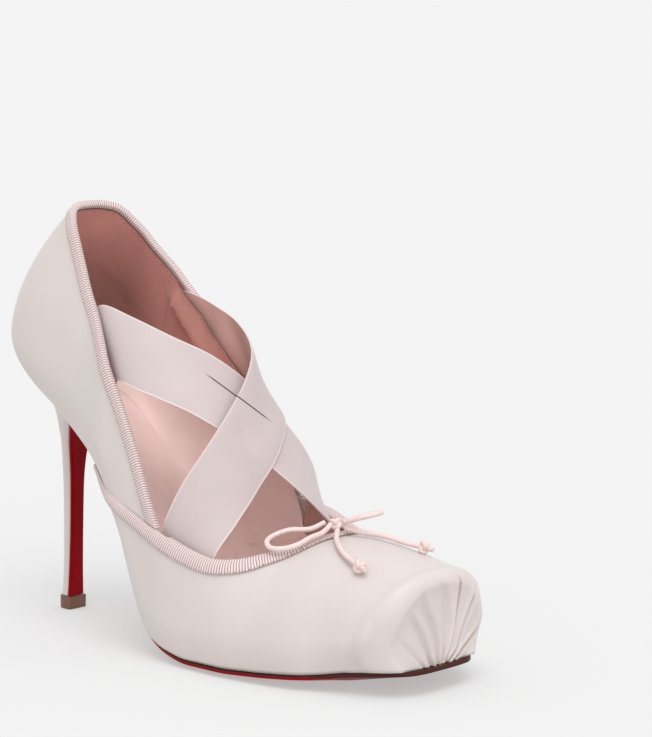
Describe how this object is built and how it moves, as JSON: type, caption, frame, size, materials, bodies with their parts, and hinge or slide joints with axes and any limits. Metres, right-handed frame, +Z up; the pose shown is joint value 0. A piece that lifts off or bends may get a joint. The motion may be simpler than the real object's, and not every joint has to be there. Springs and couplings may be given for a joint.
{
  "type": "pump shoe",
  "caption": "Right high-heeled pump with a pleated square toe, a low cut waist, crossed elastic straps, a ribbed binding and a small cord bow.",
  "frame": {"origin": "centre of the top lift's ground face", "axes": "+X from heel to toe, +Y to the wearer's left (the inner side of this right shoe), +Z up; the ground is Z = 0"},
  "size_m": [0.2104, 0.0786, 0.1601],
  "materials": {
    "satin": "satin",
    "red_sole": "smooth, semi-gloss",
    "lining": "matte",
    "heel_tip": "matte",
    "binding": "ribbed ribbon",
    "elastic": "woven elastic"
  },
  "bodies": {
    "root": {"upper": "satin", "outsole": "red_sole", "insole": "lining", "heel": "satin", "top_lift": "heel_tip", "collar_binding": "binding", "vamp_binding": "binding", "strap_under": "elastic", "strap_over": "elastic", "bow_knot": "satin", "bow_loop_outer": "satin", "bow_loop_inner": "satin", "bow_tail_outer": "satin", "bow_tail_inner": "satin", "bow_end_outer": "satin", "bow_end_inner": "satin"}
  },
  "joints": []
}
